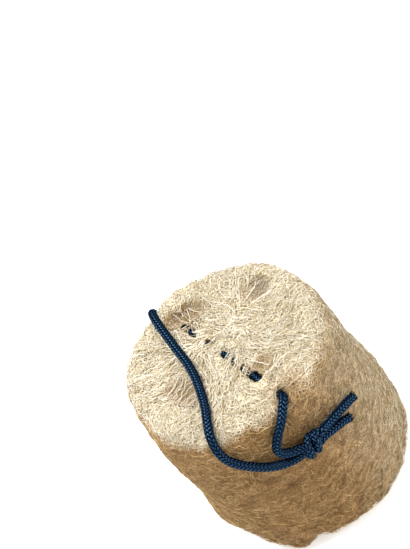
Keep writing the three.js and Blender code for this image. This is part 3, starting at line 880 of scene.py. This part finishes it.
def makeFibres(name, grown, cutShare):
    points, normals, counts, tones, radii = grown
    points = clearOfCord(points, np.repeat(radii, counts))
    meshPoints, faces = fibreMesh(points, normals, counts, radii)
    piece = newPiece(name, meshPoints, faces, fibreMaterial)
    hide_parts("sponge")
    addAttribute(piece, "tone", np.repeat(np.clip(np.repeat(tones, counts), 0, 1), 3))
    # Fibre by fibre, the pale cut ends a little sooner or later
    shift = np.repeat(0.16 * np.sin(7919.0 * np.arange(len(counts)) ** 2 % tau), counts)
    addAttribute(piece, "cut", np.repeat(np.clip(cutShare + shift * np.sin(pi * cutShare), 0, 1), 3))
    print(piece.name, "has", len(faces), "triangles")


def makeFamily(family):
    grown = growFamily(family)
    places, normals = grown[:2]
    cutShare = cutShareOf(normals, places)
    if family["zone"] == "wall":
        inChannel = nearestChannel(places[:, 0], places[:, 1]) < 1.05
        cutShare = np.where(inChannel, channelCutAndDepthShade(places[:, 2]), cutShare)
    makeFibres(family["name"], grown, cutShare)


# A fibre from wall to wall of a channel at about one depth, at an offset from the channel's middle
def acrossChannel(channel, depth, angle, offset, sag, rng):
    share = 1.06 - 0.3 * min(depth / 12, 1)
    halfLong, halfWide = (half * share for half in channel["half"])
    turn = channel["turn"]
    way = np.array((cos(angle - turn) / halfLong, sin(angle - turn) / halfWide))
    way /= np.linalg.norm(way)
    side = np.array((-way[1], way[0]))
    reach = (1 - offset**2) ** 0.5
    steps = 7
    points = []
    for t in np.linspace(-1, 1, steps + 1):
        bow = offset + rng.normal(0, 0.04)
        inUnit = way * t * reach + side * bow
        x, y = inUnit[0] * halfLong, inUnit[1] * halfWide
        z = cutLevel - (depth + sag * (1 - t * t) + rng.normal(0, 0.15)) * mm
        east, north = x * cos(turn) - y * sin(turn), x * sin(turn) + y * cos(turn)
        points.append((channel["x"] + east, channel["y"] + north, z))
    return points


def packFibres(fibres, radius, tone, rng):
    points = np.array([point for fibre in fibres for point in fibre])
    normals = np.tile((0.0, 0.0, 1.0), (len(points), 1))
    counts = np.array([len(fibre) for fibre in fibres])
    return points, normals, counts, rng.normal(tone, 0.2, len(fibres)), rng.uniform(*radius, len(fibres)) * mm


def makeChannelFloors():
    rng = np.random.default_rng(channelFloors["seed"])
    fibres = []
    for channel in channels:
        mouth = pi * channel["half"][0] * channel["half"][1] / (10 * mm) ** 2
        for depth in channelFloors["depths"]:
            for _ in range(int(mouth * channelFloors["perSquareCm"])):
                low, offset = depth + rng.normal(0, 0.5), rng.uniform(-0.93, 0.93)
                fibre = acrossChannel(channel, low, rng.uniform(0, pi), offset, channelFloors["sag"], rng)
                if not any(openness(Vector(point)) for point in fibre):
                    fibres.append(fibre)
    grown = packFibres(fibres, channelFloors["radius"], 0.7, rng)
    makeFibres("channelFloors", grown, channelCutAndDepthShade(grown[0][:, 2]))


def makeChannelBridges():
    rng = np.random.default_rng(channelBridges["seed"])
    fibres = []
    for channel, count in zip(channels, channelBridges["counts"]):
        outward = np.arctan2(channel["y"] - heartPlace.y, channel["x"] - heartPlace.x)
        for _ in range(count):
            depth = rng.uniform(*channelBridges["depth"])
            angle = outward + rng.normal(0, channelBridges["scatter"])
            fibre = acrossChannel(channel, depth, angle, rng.uniform(-0.85, 0.85), 0.4, rng)
            if not any(openness(Vector(point)) for point in fibre):
                fibres.append(fibre)
    grown = packFibres(fibres, channelBridges["radius"], 0.8, rng)
    makeFibres("channelBridges", grown, np.ones(len(grown[0])))


# The corners and the sides of the cells round scattered middles: places, and pairs of their numbers
def cellNet(mesh, reach, rng):
    count = int(reach / mesh) + 3
    rows, columns = np.mgrid[-count:count + 1, -count:count + 1]
    middles = np.stack([(columns + 0.5 * (rows % 2)) * mesh, rows * mesh * 0.87], axis=-1).reshape(-1, 2)
    middles = middles + rng.uniform(-0.62, 0.62, middles.shape) * mesh
    middles = middles[np.hypot(middles[:, 0], middles[:, 1]) < reach + 2 * mesh]
    found = geometry.delaunay_2d_cdt([Vector(middle) for middle in middles], [], [], 0, 1e-9)
    places = np.array([tuple(place) for place in found[0]])
    triangles = np.array([tuple(triangle) for triangle in found[2]])
    a, b, c = (places[triangles[:, k]] for k in range(3))
    ab, ac = b - a, c - a
    twice = 2 * (ab[:, 0] * ac[:, 1] - ab[:, 1] * ac[:, 0])
    abSquare, acSquare = (ab**2).sum(axis=1), (ac**2).sum(axis=1)
    x = (ac[:, 1] * abSquare - ab[:, 1] * acSquare) / twice
    y = (ab[:, 0] * acSquare - ac[:, 0] * abSquare) / twice
    corners = a + np.stack([x, y], axis=1)
    sides = np.concatenate([triangles[:, (0, 1)], triangles[:, (1, 2)], triangles[:, (2, 0)]])
    sides.sort(axis=1)
    owner = np.tile(np.arange(len(triangles)), 3)
    order = np.lexsort((sides[:, 1], sides[:, 0]))
    sides, owner = sides[order], owner[order]
    shared = np.flatnonzero((sides[1:] == sides[:-1]).all(axis=1))
    pairs = np.stack([owner[shared], owner[shared + 1]], axis=1)
    ends = corners[pairs]
    long = np.linalg.norm(ends[:, 0] - ends[:, 1], axis=1)
    inside = (np.hypot(ends[..., 0], ends[..., 1]) < reach).all(axis=1)
    return corners, pairs[inside & (long < 3 * mesh) & (long > 0.12 * mesh)]


# The place on the skin of the upper cut at a distance from its middle, measured along the skin
def onTheCut(u, v):
    flat, rounding = 42 * mm, 9 * mm
    away = max(np.hypot(u, v), 1e-9)
    turn = max(away - flat, 0) / rounding
    radius = min(away, flat) + rounding * sin(min(turn, pi / 2))
    height = cutLevel + 1 * mm - rounding * (1 - cos(min(turn, pi / 2)))
    place, normal, _, _ = skinTree.find_nearest(Vector((u / away * radius, v / away * radius, height)))
    return place, normal


def makeCutNet(net):
    rng = np.random.default_rng(net["seed"])
    pointsEach = 3 if net["bent"] else 2
    corners, pairs = cellNet(net["mesh"] * mm, 55 * mm, rng)
    heights = (net["height"] + rng.normal(0, net["uneven"], len(corners))) * mm
    points, normals = [], []
    for first, second in pairs:
        ends, bow = corners[[first, second]], rng.normal(0, 0.1, 2) * net["mesh"] * mm
        way = [(*ends[0], heights[first]), (*ends[1], heights[second])]
        if net["bent"]:
            way.insert(1, (*(ends.mean(axis=0) + bow), heights[[first, second]].mean()))
        fibre = [(onTheCut(u, v), height) for u, v, height in way]
        middle = (fibre[0][0][0] + fibre[-1][0][0]) / 2
        if any(openness(place) for (place, _), _ in fibre):
            continue
        if nearestChannel(middle.x, middle.y) < rng.normal(0.92, 0.12):
            continue
        points += [place + normal * height for (place, normal), height in fibre]
        normals += [normal for (_, normal), _ in fibre]
    counts = np.full(len(points) // pointsEach, pointsEach)
    tones, radii = rng.normal(net["tone"], 0.22, len(counts)), rng.uniform(*net["radius"], len(counts)) * mm
    points, normals = np.array(points), np.array(normals)
    makeFibres(net["name"], (points, normals, counts, tones, radii), cutShareOf(normals, points))


# Fine shallow nets across each channel's mouth, which bulge down a little
def makeChannelNets():
    rng = np.random.default_rng(channelNets["seed"])
    fibres = []
    for channel in channels:
        turn = channel["turn"]
        for depth in channelNets["depths"]:
            corners, pairs = cellNet(channelNets["mesh"] * mm, max(channel["half"]), rng)
            x = channel["x"] + corners[:, 0] * cos(turn) - corners[:, 1] * sin(turn)
            y = channel["y"] + corners[:, 0] * sin(turn) + corners[:, 1] * cos(turn)
            share = np.hypot(corners[:, 0] / channel["half"][0], corners[:, 1] / channel["half"][1])
            low = depth - 2.2 * share**2 + rng.normal(0, channelNets["uneven"], len(corners))
            places = np.stack([x, y, cutLevel - (low + 1.2) * mm], axis=1)
            for first, second in pairs:
                if share[[first, second]].max() > 1.02:
                    continue
                if openness(Vector((places[first] + places[second]) / 2)):
                    continue
                fibres.append([places[first], places[second]])
    grown = packFibres(fibres, channelNets["radius"], channelNets["tone"], rng)
    makeFibres("channelNets", grown, channelCutAndDepthShade(grown[0][:, 2]))


for family in families:
    makeFamily(family)
for net in cutNets:
    makeCutNet(net)
makeChannelNets()
makeChannelFloors()
makeChannelBridges()


# A plain pale floor, with soft studio light from above and a weaker one from the right
studio = {
    "floorSize": 4.0,
    "key": {"place": (-0.2, 0.12, 1.0), "size": 0.7, "power": 18.0},
    "fill": {"place": (1.0, -0.5, 0.5), "size": 1.0, "power": 8.0},
    "world": 0.62,
    "floorGlow": 0.45,  # a sweep lit from behind, so that shadows stay faint
}


def makeFloor():
    half = studio["floorSize"] / 2
    mesh = bpy.data.meshes.new("floor")
    corners = [(-half, -half, 0), (half, -half, 0), (half, half, 0), (-half, half, 0)]
    mesh.from_pydata(corners, [], [(0, 1, 2, 3)])
    material, tree = newMaterial("whitePaperSweep")
    output = addNode(tree, "ShaderNodeOutputMaterial")
    shader = addNode(tree, "ShaderNodeBsdfPrincipled", values={
        "Base Color": srgb("#f6f6f6"), "Roughness": 0.8, "Emission Color": srgb("#ffffff"),
        "Emission Strength": studio["floorGlow"]})
    tree.links.new(shader.outputs["BSDF"], output.inputs["Surface"])
    mesh.materials.append(material)
    floor = bpy.data.objects.new("floor", mesh)
    bpy.context.scene.collection.objects.link(floor)


def makeLight(name, plan):
    data = bpy.data.lights.new(name, "AREA")
    data.shape = "DISK"
    data.size = plan["size"]
    data.energy = plan["power"]
    light = bpy.data.objects.new(name, data)
    light.location = plan["place"]
    aim = Vector((0, 0, 0.05)) - light.location
    light.rotation_euler = aim.to_track_quat("-Z", "Y").to_euler()
    bpy.context.scene.collection.objects.link(light)


def makeWorld():
    world = bpy.data.worlds.new("studio")
    world.use_nodes = True
    world.node_tree.nodes["Background"].inputs["Color"].default_value = srgb("#ffffff")
    world.node_tree.nodes["Background"].inputs["Strength"].default_value = studio["world"]
    bpy.context.scene.world = world


makeFloor()
makeLight("key", studio["key"])
makeLight("fill", studio["fill"])
makeWorld()
bpy.context.scene.view_settings.view_transform = "Standard"
print("studio lit")
